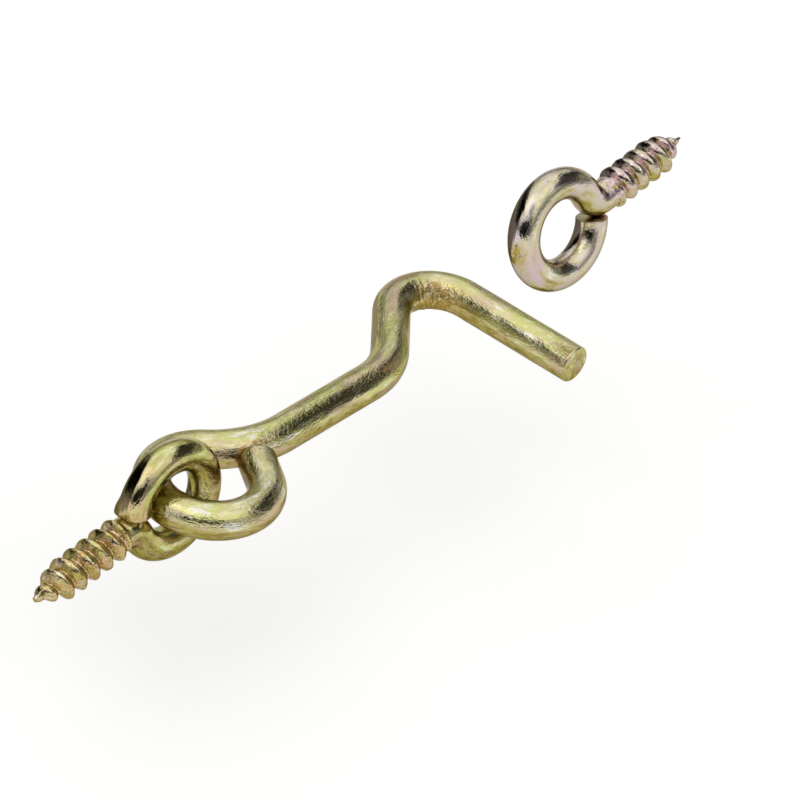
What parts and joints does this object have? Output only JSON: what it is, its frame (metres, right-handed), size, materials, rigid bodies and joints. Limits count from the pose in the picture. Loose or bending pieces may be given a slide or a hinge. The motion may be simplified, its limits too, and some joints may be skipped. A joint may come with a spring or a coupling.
{
  "type": "shutter hook",
  "caption": "Shutter hook bent from round bar, its closed eye linked through the ring of a wood screw eye, with a like screw eye as the catch for its long square tongue.",
  "frame": {"origin": "on the axis of the pivot eye's screw, where its thread ends and the neck begins, which is the wood's face when it is driven home", "axes": "+X along the hook's shank from the pivot to the tongue, -Y the way the tongue points, +Z square to the plane in which the hook is bent and swings"},
  "size_m": [0.1069, 0.0267, 0.0343],
  "materials": {
    "hook_zinc": "bright drawn steel bar, yellow chromated zinc plating",
    "screw_eye_zinc": "bright drawn steel wire, yellow chromated zinc plating, rolled thread",
    "catch_eye_zinc": "bright drawn steel wire, thin pale yellow chromate over zinc, rolled thread"
  },
  "bodies": {
    "screw_eyes": {"pivot_screw_eye": "screw_eye_zinc", "catch_screw_eye": "catch_eye_zinc"},
    "hook": {"hook_arm": "hook_zinc"}
  },
  "joints": [
    {"name": "hook_swing", "type": "hinge", "parent": "screw_eyes", "child": "hook", "pos_m": [0.0152, -0.00184, 0.00222], "axis": [0, 0, 1], "range_deg": [-90, 90]}
  ]
}
